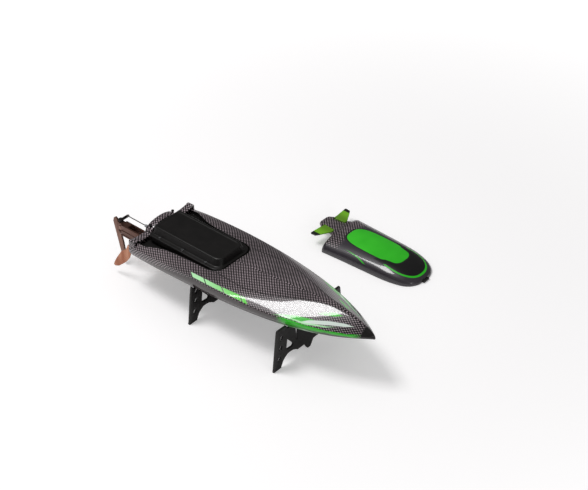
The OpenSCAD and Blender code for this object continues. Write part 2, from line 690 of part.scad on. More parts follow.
module drive_dog() {
    color([0.7, 0.7, 0.72]) in_place() on_shaft() translate([0, 0, hub_half]) difference() {
        cylinder(r = hub_r, h = strut_s - hub_half - 1);
        translate([0, 0, -1]) cylinder(r = shaft_r + slip, h = 20);
        translate([0, -10, strut_s - hub_half - 4]) rotate([-90, 0, 0]) cylinder(r = 0.9, h = 20);
    }
}
module shaft_coupler() {
    color([0.25, 0.35, 0.6]) in_place() on_shaft() translate([0, 0, coupler_s]) difference() {
        cylinder(r = 5, h = coupler_length);
        translate([0, 0, -1]) cylinder(r = shaft_r + slip, h = shaft_end - coupler_s + 1);
        translate([0, 0, shaft_end - coupler_s - 0.01]) cylinder(r = motor_shaft_r + slip, h = 30);
        for (z = [4, coupler_length - 4]) translate([0, 0, z]) rotate([0, 90, 0]) cylinder(r = 1, h = 8);
        translate([0, 0, coupler_length / 2 - 0.6]) difference() {
            cylinder(r = 6, h = 1.2);
            translate([0, 0, -1]) cylinder(r = 3.6, h = 4);
        }
    }
}
module motor_rotor() {
    color([0.5, 0.5, 0.52]) in_place() union() {
        shaft_cyl(shaft_end + 0.5, motor_shaft_r, motor_s + motor_length - 1 - shaft_end - 0.5);
        shaft_cyl(motor_s + can_wall + 3, motor_r - can_wall - 1.5, motor_length - 2 * can_wall - 6);
    }
}
module motor_can() {
    color([0.55, 0.12, 0.12]) in_place() difference() {
        union() {
            shaft_cyl(motor_s, motor_r, motor_length);
            shaft_cyl(motor_s - 2.5, 4, 3);
        }
        shaft_cyl(motor_s + can_wall, motor_r - can_wall, motor_length - 2 * can_wall);
        shaft_cyl(motor_s - 4, motor_shaft_r + run_fit, motor_length + 3);
        for (side = [-1, 1]) on_shaft() translate([0, side * 7, motor_s - 1]) cylinder(r = screw_r, h = 4);
    }
}
mount_t = 3;
function mount_low(y) =
    (floor_h(shaft_x(motor_s), y) - shaft_z(motor_s - mount_t)) / cos(shaft_angle) + rest_gap;
module motor_mount() {
    foot = 24;
    half = [[foot, mount_low(foot)], [foot, mount_low(foot) + 5], [13, 3], [9, 11]];
    color([0.45, 0.45, 0.47]) in_place() on_shaft() translate([0, 0, motor_s - mount_t])
        rotate([0, 0, 90]) difference() {
            linear_extrude(mount_t) polygon(concat([[0, mount_low(0)]], mirrored(half)));
            translate([0, 0, -1]) cylinder(r = 4 + slip, h = 10);
            for (side = [-1, 1]) translate([side * 7, 0, -1]) cylinder(r = screw_r + slip, h = 10);
        }
}
module motor_screws() {
    color([0.3, 0.3, 0.3]) in_place() on_shaft()
        for (side = [-1, 1]) translate([0, side * 7, motor_s - mount_t]) union() {
            cylinder(r = screw_r - slip, h = mount_t + can_wall - 0.5);
            translate([0, 0, -1.6]) cylinder(r = 2.1, h = 1.6);
        }
}
nipple_in_s = jacket_s + 5;
nipple_out_s = jacket_s + jacket_length - 5;
nipple_reach = 7;
module jacket_nipple(s, side) {
    rod_y(shaft_x(s), side > 0 ? motor_r : -motor_r - nipple_reach, shaft_z(s), nipple_r, nipple_reach);
}
module cooling_jacket() {
    color([0.6, 0.62, 0.66]) in_place() difference() {
        union() {
            shaft_cyl(jacket_s, motor_r + jacket_t, jacket_length);
            jacket_nipple(nipple_in_s, -1);
            jacket_nipple(nipple_out_s, 1);
        }
        shaft_cyl(jacket_s - 1, motor_r + slip, jacket_length + 2);
        for (k = [0:3]) difference() {
            shaft_cyl(jacket_s + 3 + k * (jacket_length - 8) / 3, motor_r + jacket_t + 1, 2);
            shaft_cyl(jacket_s + 2 + k * (jacket_length - 8) / 3, motor_r + jacket_t - 0.6, 4);
        }
    }
}

// ================= water =================
module water_inlet() {
    color([0.75, 0.65, 0.4]) in_place() difference() {
        union() {
            rod_x(-9, inlet_y, inlet_z, nipple_r, 9 + transom_t + 6);
            rod_x(-2, inlet_y, inlet_z, 3.4, 2);
            translate([-9, inlet_y, inlet_z]) rotate([0, 150, 0]) cylinder(r = nipple_r, h = 12);
            translate([-9, inlet_y, inlet_z]) sphere(r = nipple_r, $fn = 24);
        }
        rod_x(-8, inlet_y, inlet_z, 0.9, 30);
        translate([-9, inlet_y, inlet_z]) rotate([0, 150, 0]) cylinder(r = 0.9, h = 14);
    }
}
module water_outlet() {
    color([0.75, 0.65, 0.4]) in_place() difference() {
        union() {
            rod_x(-5, outlet_y, outlet_z, nipple_r, 5 + transom_t + 6);
            rod_x(-1.5, outlet_y, outlet_z, 3.2, 1.5);
        }
        rod_x(-8, outlet_y, outlet_z, 0.9, 30);
    }
}
// A hose of radius r along hand-chosen points
function along(route) =
    [for (i = [0:len(route) - 1]) let (a = route[max(i - 1, 0)], b = route[min(i + 1, len(route) - 1)])
        (b - a) / norm(b - a)];
module hose(route, r) {
    d = along(route);
    sides = 8;
    loft([for (i = [0:len(route) - 1])
        let (u = cross(d[i], [0, 0, 1]) / norm(cross(d[i], [0, 0, 1])), v = cross(u, d[i]))
        [for (k = [0:sides - 1]) route[i] + r * (cos(360 * k / sides) * u + sin(360 * k / sides) * v)]]);
}
nipple_in = [shaft_x(nipple_in_s), -motor_r - nipple_reach, shaft_z(nipple_in_s)];
nipple_out = [shaft_x(nipple_out_s), motor_r + nipple_reach, shaft_z(nipple_out_s)];
hose_in_route = [
    [transom_t + 6, inlet_y, inlet_z], [16, inlet_y, inlet_z], [26, -23, 52.5], [40, -25, 53],
    [60, -28, 54], [80, -29, 55], [100, -29, 55.5], [116, -29, 55.5], [128, -28, 55.3],
    nipple_in + [-2.5, -6.5, 0.2], nipple_in + [0, -3, 0], nipple_in
];
hose_out_route = [
    nipple_out, nipple_out + [0, 3, 0], nipple_out + [-3.5, 7, 0.2], [140, 32, 58.5], [124, 36, 58],
    [104, 38, 58], [80, 39, 58], [60, 40, 58.4], [44, 42, 60], [30, 42.5, 63.5],
    [18, outlet_y, outlet_z], [transom_t + 6, outlet_y, outlet_z]
];
module hose_in() { color([0.35, 0.5, 0.75]) in_place() hose(hose_in_route, hose_r); }
module hose_out() { color([0.35, 0.5, 0.75]) in_place() hose(hose_out_route, hose_r); }

// ================= equipment =================
function floor_h(x, y) = vee(x, y) + skin * 1.1;
function floor_half(x, z) =
    (z - keel_h(x) - skin * 1.1) * (chine_y(x) - rail) / (chine_h(x) - rail_drop - keel_h(x));
servo_l = 23;
servo_w = 12;
servo_top = arm_z - 3;
tray_under = well_floor - 2;
module servo_tray() {
    color([0.2, 0.2, 0.2]) in_place() difference() {
        translate([horn_x - 17, -46, tray_under]) cube([36, 53, 2]);
        translate([horn_x - 6 - 0.1, horn_y - servo_w / 2 - 0.1, tray_under - 1])
            cube([servo_l + 0.2, servo_w + 0.2, 4]);
    }
}
module servo() {
    color([0.12, 0.14, 0.3]) in_place() union() {
        translate([horn_x - 6, horn_y - servo_w / 2, servo_top - 22]) cube([servo_l, servo_w, 22]);
        translate([horn_x - 10, horn_y - servo_w / 2, well_floor]) cube([servo_l + 8, servo_w, 1.8]);
        translate([horn_x, horn_y, servo_top]) cylinder(r = 4.5, h = 2.6);
        translate([horn_x, horn_y, servo_top]) cylinder(r = 2, h = arm_z + 3 - servo_top);
    }
}
radio_z = keel_z + 25;
radio_x0 = 64;
radio_x1 = 112;
box_height = 11;
module radio_tray() {
    half = min(floor_half(radio_x0, radio_z), floor_half(radio_x1, radio_z)) - 0.8;
    color([0.25, 0.25, 0.25]) in_place()
        translate([radio_x0, -half, radio_z]) cube([radio_x1 - radio_x0, 2 * half, 1.5]);
}
module esc() {
    z = radio_z + 1.5;
    color([0.12, 0.12, 0.14]) in_place() difference() {
        translate([radio_x0 + 2, 6, z]) cube([44, 28, box_height]);
        for (k = [0:6]) translate([radio_x0 + 1, 9 + k * 3.4, z + 6]) cube([46, 1.6, 6]);
    }
}
module receiver() {
    z = radio_z + 1.5;
    color([0.1, 0.1, 0.1]) in_place() difference() {
        translate([radio_x0 + 4, -34, z]) cube([34, 22, box_height]);
        for (k = [0:4]) translate([radio_x0 + 36.5, -32 + k * 4, z + 4]) cube([3, 3, 6]);
    }
}
battery_x = 178;
battery_z = keel_z + 20;
module battery_tray() {
    color([0.2, 0.2, 0.2]) in_place() union() {
        translate([battery_x, -battery_width / 2 - 1, battery_z - 1.5])
            cube([battery_length, battery_width + 2, 1.5]);
        for (x = [battery_x + 4, battery_x + battery_length - 12])
            across(x, 3) polygon([[0, floor_h(x, 0) + 0.3],
                [battery_width / 2, max(floor_h(x, battery_width / 2) + 0.3, 0)],
                [battery_width / 2, battery_z - 1.5], [-battery_width / 2, battery_z - 1.5],
                [-battery_width / 2, floor_h(x, battery_width / 2) + 0.3]]);
    }
}
module battery() {
    color([0.1, 0.25, 0.6]) in_place() translate([battery_x, 0, battery_z])
        across(0, battery_length) polygon([for (p = rounded(-battery_width / 2, battery_width / 2,
            battery_height / 2, 4)) p + [0, battery_height / 2]]);
}
module battery_strap() {
    color([0.05, 0.05, 0.05]) in_place()
        across(battery_x + battery_length / 2 - 9, 18) difference() {
            translate([-battery_width / 2 - 2.2, battery_z - 2.8])
                square([battery_width + 4.4, battery_height + 4.1]);
            translate([-battery_width / 2 - 1.1, battery_z - 1.7])
                square([battery_width + 2.2, battery_height + 1.9]);
        }
}
module foam_block() {
    x = 0.71 * boat_length;
    half = 16;
    top = rim_h(x) + 6;
    color([0.9, 0.9, 0.88]) in_place() across(x, 46) polygon([
        [0, floor_h(x + 46, 0) + 0.3], [half, floor_h(x + 46, half) + 0.3], [half, top], [-half, top],
        [-half, floor_h(x + 46, half) + 0.3]]);
}

// ================= canopy =================
canopy_half_curve = [[0, 1], [0.25, 0.945], [0.5, 0.905], [0.73, 0.85], [0.88, 0.73], [0.95, 0.58],
    [0.985, 0.41], [1, 0.28]];
canopy_top_curve = [[0, 0.9], [0.25, 1], [0.6, 1], [0.75, 0.93], [0.88, 0.72], [0.96, 0.45], [1, 0.24]];
function canopy_b(f) = canopy_width / 2 * curve(canopy_half_curve, f);
function canopy_h(f) = canopy_height * curve(canopy_top_curve, f);
canopy_profile = [[1, 0], [1, 0.1], [0.985, 0.3], [0.93, 0.52], [0.83, 0.7], [0.7, 0.83], [0.54, 0.93],
    [0.28, 0.98], [0, 1]];
function canopy_outline(f, t) =
    [for (p = canopy_profile) [p[0] * (canopy_b(f) - t), p[1] * (canopy_h(f) - t)]];
canopy_parts = [for (i = [0:22]) sin(90 * i / 22) * 0.6 + 0.4 * i / 22];
module by_canopy() {
    translate([canopy_aft, canopy_side, 0]) children();
}
module canopy_shell() {
    color([0.25, 0.24, 0.26]) in_place() by_canopy() one_mesh() difference() {
        loft([for (f = canopy_parts) at_x(f * canopy_length, mirrored_once(canopy_outline(f, 0)))]);
        translate([0, 0, -0.01]) loft([for (f = canopy_parts)
            at_x(f * (canopy_length - canopy_wall) - (f == 0 ? 1 : 0),
                mirrored_once(canopy_outline(f, canopy_wall)))]);
    }
}
tail_half = 16;
tail_top = canopy_height * 0.9;
tail_t = 4;
module canopy_tail() {
    color([0.16, 0.15, 0.15]) in_place() by_canopy() translate([0, 0, tail_top - tail_t])
        linear_extrude(tail_t) polygon([[0, tail_half + 9], [-4, tail_half + 6],
            [-canopy_tail_length + 8, tail_half], [-canopy_tail_length + 2, tail_half - 4],
            [-canopy_tail_length, tail_half - 9], [-canopy_tail_length, -tail_half + 9],
            [-canopy_tail_length + 2, -tail_half + 4], [-canopy_tail_length + 8, -tail_half],
            [-4, -tail_half - 6], [0, -tail_half - 9]]);
}
module winglet(side) {
    root = tail_half + 4;
    color([0.45, 0.75, 0.1]) in_place() by_canopy() translate([0, 0, tail_top])
        scale([1, side, 1]) linear_extrude(2.4) polygon([[-26, tail_half - 4], [-4, tail_half - 2],
            [-4, root], [-14, root + winglet_span * 0.72], [-18, root + winglet_span - 1],
            [-27, root + winglet_span], [-28, root + winglet_span - 1.5], [-26, root]]);
}
module winglet_port() { winglet(1); }
module winglet_starboard() { winglet(-1); }
module canopy_tongue() {
    color([0.12, 0.12, 0.12]) in_place() by_canopy() translate([canopy_length, -7, 0.6])
        cube([4, 14, 3]);
}

stand_front();
stand_rear();
stand_pads();
hull();
deck();
transom();
bow_bumper();
hatch_well();
hatch_seal();
canopy_posts();
hatch_cover();
hatch_screws();
rudder_bracket();
bracket_screws();
rudder_blade();
rudder_pin();
tiller_arm();
pushrod();
pushrod_boot();
servo();
servo_tray();
servo_horn();
turn_fin_starboard();
turn_fin_port();
fin_screws();
prop_strut();
strut_bushing();
stuffing_tube();
prop_shaft();
propeller();
prop_nut();
drive_dog();
shaft_coupler();
motor_rotor();
motor_can();
motor_mount();
motor_screws();
cooling_jacket();
water_inlet();
water_outlet();
hose_in();
hose_out();
radio_tray();
esc();
receiver();
battery_tray();
battery();
battery_strap();
foam_block();
canopy_shell();
canopy_tail();
winglet_port();
winglet_starboard();
canopy_tongue();
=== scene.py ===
import bpy, bmesh, json, math
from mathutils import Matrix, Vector


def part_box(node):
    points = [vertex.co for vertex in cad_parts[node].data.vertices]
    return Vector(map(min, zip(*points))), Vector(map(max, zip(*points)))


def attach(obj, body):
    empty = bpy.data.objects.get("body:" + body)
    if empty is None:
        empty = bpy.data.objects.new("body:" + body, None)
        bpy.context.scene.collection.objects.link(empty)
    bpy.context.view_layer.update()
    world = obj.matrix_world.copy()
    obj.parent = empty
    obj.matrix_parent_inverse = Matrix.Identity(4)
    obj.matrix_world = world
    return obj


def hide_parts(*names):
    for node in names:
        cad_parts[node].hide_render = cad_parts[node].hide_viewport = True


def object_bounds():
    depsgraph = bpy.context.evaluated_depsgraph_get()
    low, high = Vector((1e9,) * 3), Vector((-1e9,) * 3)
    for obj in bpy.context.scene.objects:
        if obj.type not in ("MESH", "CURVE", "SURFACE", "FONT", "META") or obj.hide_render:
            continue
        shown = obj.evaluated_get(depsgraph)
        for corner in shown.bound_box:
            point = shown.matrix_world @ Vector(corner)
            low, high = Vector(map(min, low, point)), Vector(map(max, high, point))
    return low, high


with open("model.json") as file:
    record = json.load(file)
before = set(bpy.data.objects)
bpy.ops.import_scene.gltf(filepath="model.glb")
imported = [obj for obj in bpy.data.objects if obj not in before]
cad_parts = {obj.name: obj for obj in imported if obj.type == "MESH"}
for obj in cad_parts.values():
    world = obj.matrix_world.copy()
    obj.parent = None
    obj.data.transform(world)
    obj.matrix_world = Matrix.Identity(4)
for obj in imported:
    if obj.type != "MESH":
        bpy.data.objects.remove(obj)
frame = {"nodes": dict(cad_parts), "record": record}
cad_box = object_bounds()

nodes = frame["nodes"]
MM = 0.001

# ---- the boat's own coordinates: millimetres from the transom, the centre line and the ground ----
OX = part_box("transom")[0].x / MM
OY = (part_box("hull")[0].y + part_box("hull")[1].y) / 2 / MM
TIP_CUT = 0.7
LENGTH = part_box("bow_bumper")[1].x / MM - OX + TIP_CUT
BEAM = 141.0
KEEL = 37.0
SKIN = 1.6           # the hull's and deck's wall
BAND = 12.0          # where the deck skin starts
TRANSOM_T = 3.0
SHELL_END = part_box("bow_bumper")[0].x / MM - OX
CANOPY_Y = (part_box("canopy_shell")[0].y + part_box("canopy_shell")[1].y) / 2 / MM - OY
CANOPY_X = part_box("canopy_shell")[0].x / MM - OX


def at(x, y, z):
    """A place in the boat's millimetres, as a point of the frame in metres."""
    return Vector(((OX + x) * MM, (OY + y) * MM, z * MM))


# ---- curves, the same as in the part's source ----
def curve(p, x):
    i = 0
    while i < len(p) - 2 and x >= p[i + 1][0]:
        i += 1
    h = p[i + 1][0] - p[i][0]
    t = (x - p[i][0]) / h

    def slope(k):
        a, b = max(k - 1, 0), min(k + 1, len(p) - 1)
        return (p[b][1] - p[a][1]) / (p[b][0] - p[a][0])
    return (p[i][1] * (2 * t ** 3 - 3 * t ** 2 + 1) + slope(i) * h * (t ** 3 - 2 * t ** 2 + t)
            + p[i + 1][1] * (3 * t ** 2 - 2 * t ** 3) + slope(i + 1) * h * (t ** 3 - t ** 2))


def mix(a, b, t):
    return a + (b - a) * t


TAPER = 0.184 * LENGTH
KEEL_C = [(0, 0), (0.45, 0), (0.69, 5), (0.85, 20), (0.92, 31), (1, 46)]
CHINE_C = [(0, 24), (0.3, 28), (0.55, 30.5), (0.7, 32.5), (0.85, 37), (1, 46.6)]
RIM_C = [(0, 39), (0.1, 43), (0.3, 47), (0.7, 46.5), (1, 48.5)]
SPINE_C = [(0, 52), (0.38, 55.5), (0.6, 62.5), (0.7, 67.5), (0.79, 71), (0.86, 70), (0.92, 65.5),
           (0.965, 58.5), (1, 50)]
CREASE_C = [(0, 44), (0.38, 46), (0.5, 45), (0.6, 37), (0.7, 21), (0.78, 9), (0.86, 4.5), (1, 0.4)]
DROP_C = [(0, 3), (0.38, 3), (0.6, 2.5), (0.75, 1.2), (1, 0.2)]
RAIL, RAIL_DROP, BULGE, EDGE = 2.5, 0.8, 1.4, 0.8
TOP = cad_box[1].z / MM - 0.01


def half_beam(x):
    if x < TAPER:
        return BEAM / 2 - 2.5 * ((TAPER - x) / TAPER) ** 2
    return BEAM / 2 * (1 - ((x - TAPER) / (LENGTH - TAPER)) ** 3) ** 0.9


def keel_h(x): return KEEL + curve(KEEL_C, x / LENGTH)
def chine_h(x): return KEEL + curve(CHINE_C, x / LENGTH)
def rim_h(x): return KEEL + curve(RIM_C, x / LENGTH)
def spine_h(x): return KEEL + curve(SPINE_C, x / LENGTH)
def chine_y(x): return half_beam(x) * (0.97 - 0.15 * (x / LENGTH) ** 2)
def crease_y(x): return min(curve(CREASE_C, x / LENGTH) * BEAM / 141, half_beam(x) * 0.8)
def crease_h(x): return spine_h(x) - curve(DROP_C, x / LENGTH)


def hull_half(x, t=0.0, sides=12, bottoms=5):
    w, c, zr, zc, zk = half_beam(x), chine_y(x), rim_h(x), chine_h(x), keel_h(x)
    r = min(RAIL, c / 4)
    out = []
    for j in range(sides):
        f = j / sides
        out.append((mix(w, c, f) + BULGE * min(1, w / 40) * math.sin(math.pi * f) - t, mix(zr, zc, f)))
    out += [(c - t, zc + t * 0.3), (c - r - t * 0.3, zc - RAIL_DROP + t)]
    for j in range(1, bottoms + 1):
        f = j / bottoms
        out.append((mix(c - r, 0, f), mix(zc - RAIL_DROP, zk, f) + t * 1.08))
    return out


def deck_height(x, y):
    """Height of the deck's outer surface."""
    w, zr = half_beam(x), rim_h(x) + 2 * EDGE
    cy, cz, zs = crease_y(x), crease_h(x), spine_h(x)
    y = abs(y)
    if y > cy:
        k = min(max((w - EDGE - y) / max(w - EDGE - cy, 1e-6), 0), 1)
        return mix(zr, cz, k) + 1.2 * math.sin(math.pi * k)
    u = y / cy
    return zs - (zs - cz) * (0.8 * u * u + 0.2 * u)


def deck_half(x, t=0.0, panel=14, middle=6):
    w, zr = half_beam(x), rim_h(x)
    cy = crease_y(x)
    f = 1 - t / w
    out = [(w - t, zr), (w - t - EDGE * 0.3, zr + (0.3 if t else EDGE * 1.3)),
           (w - t - EDGE, zr + (0.35 if t else EDGE * 2))]
    for j in range(1, panel + 1):
        y = mix(w - EDGE, cy, j / panel)
        out.append((y * f, deck_height(x, y) - t))
    for j in range(1, middle + 1):
        y = cy * (1 - j / middle)
        out.append((y * f, min(deck_height(x, y), TOP) - t))
    return out


def mirrored(half):
    return half + [(-y, z) for y, z in reversed(half[:-1])]


def stations(a, b, n):
    return [mix(a, b, math.sin(math.pi / 2 * i / n) * 0.45 + 0.55 * i / n) for i in range(n + 1)]


# ---- building meshes ----
SHARP = math.radians(32)


def finish_mesh(name, bm, sharp=SHARP):
    bmesh.ops.remove_doubles(bm, verts=bm.verts, dist=2e-6)
    bmesh.ops.dissolve_degenerate(bm, edges=bm.edges, dist=1e-6)
    bmesh.ops.recalc_face_normals(bm, faces=bm.faces)
    for f in bm.faces:
        f.smooth = True
    for e in bm.edges:
        e.smooth = not (len(e.link_faces) == 2 and e.calc_face_angle(0) > sharp)
    me = bpy.data.meshes.new(name)
    bm.to_mesh(me)
    bm.free()
    ob = bpy.data.objects.new(name, me)
    bpy.context.scene.collection.objects.link(ob)
    return ob


def loft_bm(rings, cap_start=True, cap_end=True, closed=True):
    bm = bmesh.new()
    vs = [[bm.verts.new(p) for p in r] for r in rings]
    n = len(rings[0])
    for a, b in zip(vs, vs[1:]):
        for j in range(n if closed else n - 1):
            k = (j + 1) % n
            bm.faces.new((a[j], b[j], b[k], a[k]))
    if cap_start:
        bm.faces.new(vs[0])
    if cap_end:
        bm.faces.new(list(reversed(vs[-1])))
    return bm


def shell_bm(outer_of, inner_of, xs):
    """A skin between two outlines, open at the rim, with quads across its ends and rims."""
    bm = bmesh.new()
    outs, ins = [], []
    for x in xs:
        outs.append([bm.verts.new(at(x, y, z)) for y, z in mirrored(outer_of(x))])
        ins.append([bm.verts.new(at(x, y, z)) for y, z in mirrored(inner_of(x))])
    n = len(outs[0])
    for i in range(len(xs) - 1):
        for j in range(n - 1):
            bm.faces.new((outs[i][j], outs[i + 1][j], outs[i + 1][j + 1], outs[i][j + 1]))
            bm.faces.new((ins[i][j], ins[i][j + 1], ins[i + 1][j + 1], ins[i + 1][j]))
        for j in (0, n - 1):
            bm.faces.new((outs[i][j], ins[i][j], ins[i + 1][j], outs[i + 1][j]))
    for i in (0, len(xs) - 1):
        for j in range(n - 1):
            bm.faces.new((outs[i][j], outs[i][j + 1], ins[i][j + 1], ins[i][j]))
    return bm


# ---- hull, deck and bumper ----
fine = stations(BAND, SHELL_END, 110)
hull_skin = finish_mesh("hull_skin", shell_bm(hull_half, lambda x: hull_half(x, SKIN),
                                              [TRANSOM_T, (TRANSOM_T + BAND) / 2] + fine))

OPEN_X, OPEN_Y = 166.0, 45.0    # the deck opening's front edge and half width
WELL_Z = KEEL + 38              # the underside of the recess
TRAY = 1.5                      # its wall


def opening(d, n=20):
    r, xf, yf = 22, OPEN_X - d, OPEN_Y - 2 - d
    half = [(BAND + d, OPEN_Y + 14 - d), (28, OPEN_Y + 14 - d), (45, OPEN_Y + 7.5 - d),
            (62, OPEN_Y + 2 - d), (92, OPEN_Y - 0.5 - d)]
    half += [(xf - r + r * math.sin(math.pi / 2 * k / n), yf - r + r * math.cos(math.pi / 2 * k / n))
             for k in range(n + 1)]
    return half + [(x, -y) for x, y in reversed(half)]


deck_solid = finish_mesh("deck_skin", shell_bm(deck_half, lambda x: deck_half(x, SKIN), fine))
cut = [(x - (1 if x < BAND + 1 else 0), y) for x, y in opening(0)]
cutter = finish_mesh("cutter", loft_bm([[at(x, y, z) for x, y in cut] for z in (WELL_Z - 1, WELL_Z + 80)]))
m = deck_solid.modifiers.new("opening", "BOOLEAN")
m.object, m.operation, m.solver = cutter, "DIFFERENCE", "EXACT"
bpy.context.view_layer.update()
cut_mesh = bpy.data.meshes.new_from_object(deck_solid.evaluated_get(bpy.context.evaluated_depsgraph_get()))
bm = bmesh.new()
bm.from_mesh(cut_mesh)
bpy.data.objects.remove(deck_solid)
bpy.data.objects.remove(cutter)
deck_skin = finish_mesh("deck_skin", bm)


def dense(points, step=3.0):
    out = []
    for a, b in zip(points, points[1:]):
        k = max(1, int(math.dist(a, b) / step))
        out += [(mix(a[0], b[0], i / k), mix(a[1], b[1], i / k)) for i in range(k)]
    return out + [points[-1]]


def recess_wall():
    """The wall that hangs round the opening, from the deck down to the recess's floor."""
    inner, outer = dense(opening(0.0)), dense(opening(-TRAY))
    n = min(len(inner), len(outer))
    rings = []
    for i in range(n):
        a = inner[i]
        b = outer[round(i * (len(outer) - 1) / (n - 1))]
        za, zb = deck_height(a[0], a[1]) - 0.05, deck_height(b[0], b[1]) - SKIN
        rings.append([at(*a, WELL_Z), at(*a, za), at(*b, zb), at(*b, WELL_Z)])
    return finish_mesh("recess_wall", loft_bm(rings))


wall = recess_wall()


def bead(name, path, r, sides=8):
    """A round bead of radius r along a path of points in metres."""
    rings = []
    turns = [2 * math.pi * k / sides for k in range(sides)]
    for i, p in enumerate(path):
        d = (path[min(i + 1, len(path) - 1)] - path[max(i - 1, 0)]).normalized()
        u = d.cross(Vector((0, 0, 1))).normalized()
        v = u.cross(d)
        rings.append([p + r * (math.cos(a) * u + math.sin(a) * v) for a in turns])
    return finish_mesh(name, loft_bm(rings), math.radians(80))


LIP_R, LIP_SUNK = 0.55, 0.15
lip = bead("recess_lip", [at(x, y, deck_height(x, y) - LIP_SUNK) for x, y in dense(opening(0.2))[2:-2]],
           LIP_R * MM)


def bumper_ring(x, grow=1.0):
    low, high = mirrored(hull_half(x)), mirrored(deck_half(x))
    pts = low + [(-y, z) for y, z in high[1:-1]]
    zc = rim_h(x)
    return [at(x, y * grow, zc + (z - zc) * grow) for y, z in pts]


bumper_x = [SHELL_END + (LENGTH - TIP_CUT - SHELL_END) * math.sin(math.pi / 2 * k / 26) for k in range(27)]
bow_tip = finish_mesh("bow_tip", loft_bm([bumper_ring(x) for x in bumper_x]))


# ---- hatch cover: rounded outlines stacked with filleted edges ----
def rounded(x0, x1, h, r, n=10):
    out = []
    for k in range(n + 1):
        a = math.pi / 2 * k / n
        out.append((x1 - r + r * math.sin(a), h - r + r * math.cos(a)))
    for k in range(n + 1):
        a = math.pi / 2 * k / n
        out.append((x1 - r + r * math.cos(a), -h + r - r * math.sin(a)))
    q = r / 2
    for k in range(n + 1):
        a = math.pi / 2 * k / n
        out.append((x0 + q - q * math.sin(a), -h + q - q * math.cos(a)))
    for k in range(n + 1):
        a = math.pi / 2 * k / n
        out.append((x0 + q - q * math.cos(a), h - q + q * math.sin(a)))
    return out


FLOOR_TOP = WELL_Z + TRAY
COVER_BASE = FLOOR_TOP + 6
LEDGE = COVER_BASE + 8.5
COVER_TOP = FLOOR_TOP + 26
CX0, CX1 = BAND + 2, OPEN_X - 3.5
COVER_H, BODY_H, TOP_H = 39.5, 32.2, 28.0
BODY_X0, BODY_X1 = CX0 + 2.05, CX1 - 4.05
TOP_X0, TOP_X1 = CX0 + 3, CX1 - 6


def fillet(z, inset, r, n=4):
    """(z, inset) pairs turning from a wall into a flat."""
    return [(z - r + r * math.sin(math.pi / 2 * k / n), inset + r - r * math.cos(math.pi / 2 * k / n))
            for k in range(n + 1)]


def hatch_shell():
    """The cover: a flat skirt, then tapering walls up to a rounded top edge."""
    rings = []
    for z, i in [(COVER_BASE, 0.0)] + fillet(LEDGE, 0.0, 1.2):
        rings.append([at(x, y, z) for x, y in rounded(CX0 + i, CX1 - i, COVER_H - i, 16)])
    for z, o in ((LEDGE, 1.4), (LEDGE + 0.25, 0.5), (LEDGE + 1.2, 0.0)):
        rings.append([at(x, y, z) for x, y in rounded(BODY_X0 - o, BODY_X1 + o, BODY_H - 0.05 + o, 12)])
    for k in range(1, 5):
        t = k / 4
        z = mix(LEDGE + 1.2, COVER_TOP - 2.2, t)
        rings.append([at(x, y, z) for x, y in rounded(mix(BODY_X0, TOP_X0, t), mix(BODY_X1, TOP_X1, t),
                                                      mix(BODY_H - 0.05, TOP_H + 1, t), 12)])
    for z, i in fillet(COVER_TOP, 0.0, 2.2)[1:]:
        rings.append([at(x, y, z) for x, y in rounded(TOP_X0 + i, TOP_X1 - i, TOP_H + 1 - i, 12)])
    # the top is sunk a little inside its edge
    for inset, dz in ((5.0, 0.0), (5.6, -0.45), (6.4, -0.45)):
        rings.append([at(x, y, COVER_TOP + dz) for x, y in rounded(TOP_X0 + inset, TOP_X1 - inset,
                                                                   TOP_H + 1 - inset, 9)])
    return finish_mesh("hatch_shell", loft_bm(rings, cap_start=False), math.radians(50))


hatch_shell_ob = hatch_shell()


# ---- canopy ----
C_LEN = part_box("canopy_shell")[1].x / MM - OX - CANOPY_X
C_WIDTH = (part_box("canopy_shell")[1].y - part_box("canopy_shell")[0].y) / MM
C_HEIGHT = 23.0
HALF_C = [(0, 1), (0.25, 0.945), (0.5, 0.905), (0.73, 0.85), (0.88, 0.73), (0.95, 0.58), (0.985, 0.41),
          (1, 0.28)]
TOP_C = [(0, 0.9), (0.25, 1), (0.6, 1), (0.75, 0.93), (0.88, 0.72), (0.96, 0.45), (1, 0.24)]
SUPER = 2 / 2.65     # the exponent that squares up the canopy's section
STEP_DEPTH = 0.9


def canopy_ring(f, n=26, shrink=1.0, x=None):
    b = C_WIDTH / 2 * curve(HALF_C, f) * shrink
    h = C_HEIGHT * curve(TOP_C, f) * shrink
    out = []
    for k in range(n + 1):
        a = math.pi * k / n
        c, s = math.cos(a), math.sin(a)
        y = b * math.copysign(abs(c) ** SUPER, c)
        z = h * abs(s) ** SUPER
        z = max(z, 0.12)
        # the shoulder step that runs along each side below the top panel
        side = abs(c)
        if 0.45 < side < 0.97:
            dip = STEP_DEPTH * math.sin(math.pi * (side - 0.45) / 0.52) ** 2 * min(1, f * 8)
            y -= math.copysign(dip, c)
        out.append(at(CANOPY_X + (f * C_LEN if x is None else x), CANOPY_Y + y, z))
    return out


def canopy():
    """The open shell, with a blunt nose and a real wall."""
    fs = [0.6 * math.sin(math.pi / 2 * i / 60) + 0.4 * i / 60 for i in range(61)]
    rings = [canopy_ring(f) for f in fs]
    rings += [canopy_ring(1.0, shrink=s) for s in (0.8, 0.45, 0.1)]
    ob = finish_mesh("canopy_skin", loft_bm(rings, cap_start=False, closed=False), math.radians(45))
    solid = ob.modifiers.new("thickness", "SOLIDIFY")
    solid.thickness, solid.offset = 1.5 * MM, -1
    return ob


canopy_ob = canopy()

# ---- materials ----


def srgb(r, g, b):
    return tuple(((c / 255 / 12.92) if c / 255 <= 0.04045 else ((c / 255 + 0.055) / 1.055) ** 2.4)
                 for c in (r, g, b)) + (1.0,)


